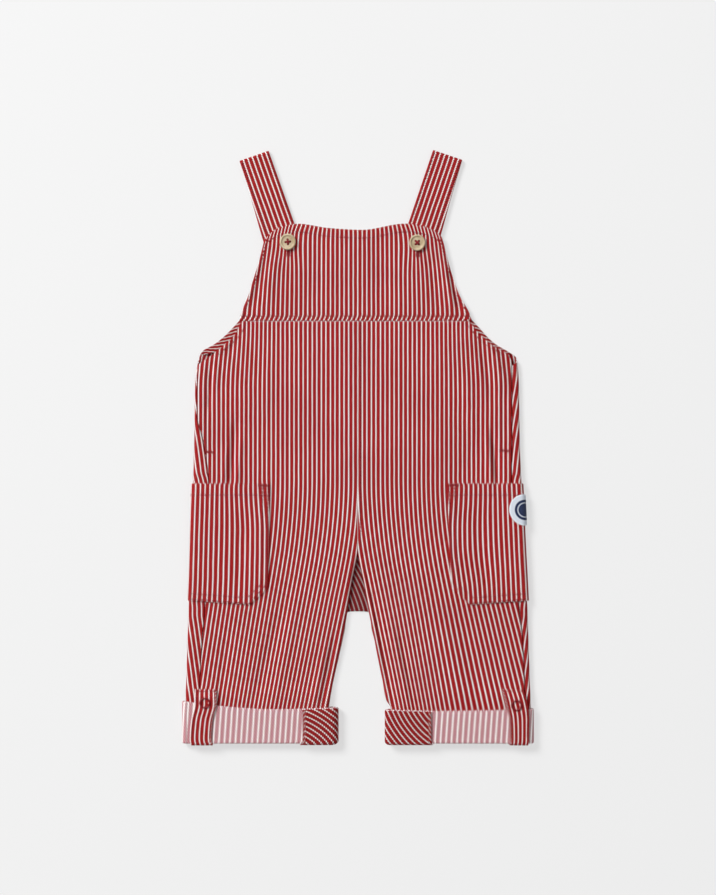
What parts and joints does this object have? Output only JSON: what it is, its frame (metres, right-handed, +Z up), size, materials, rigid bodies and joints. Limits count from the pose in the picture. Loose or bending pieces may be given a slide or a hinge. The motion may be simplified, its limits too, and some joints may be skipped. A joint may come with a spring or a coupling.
{
  "type": "baby dungarees",
  "caption": "Baby dungarees in striped twill, laid flat with the front up: buttoned bib, folded straps, patch pockets, rolled-up cuffs held by tabs.",
  "frame": {"origin": "middle of the garment's box, on the surface that it lies on", "axes": "+Z up from the surface, out of the front of the garment; +Y from the leg ends towards the straps; +X to the right of somebody who looks down at the front"},
  "size_m": [0.2816, 0.4766, 0.0112],
  "materials": {
    "twill": "red and white striped cotton twill",
    "reverse": "reverse of the striped twill, pale pink",
    "facing": "striped twill cut on the slant",
    "button": "beige four-hole button, satin",
    "snap": "dark red lacquered ring",
    "patch": "pale blue-grey woven badge"
  },
  "bodies": {
    "root": {"bib_front": "twill", "bib_back": "twill", "front_left": "twill", "front_right": "twill", "back_left": "twill", "back_right": "twill", "crotch_gusset": "facing", "armhole_facing_left": "facing", "armhole_facing_right": "facing", "strap_left": "twill", "strap_right": "twill", "pocket_left": "twill", "pocket_right": "twill", "patch": "patch", "cuff_left": "reverse", "cuff_right": "reverse", "inseam_facing_left": "facing", "inseam_facing_right": "facing", "tab_left": "twill", "tab_right": "twill", "snap_left": "snap", "snap_right": "snap", "button_left": "button", "button_right": "button"}
  },
  "joints": []
}
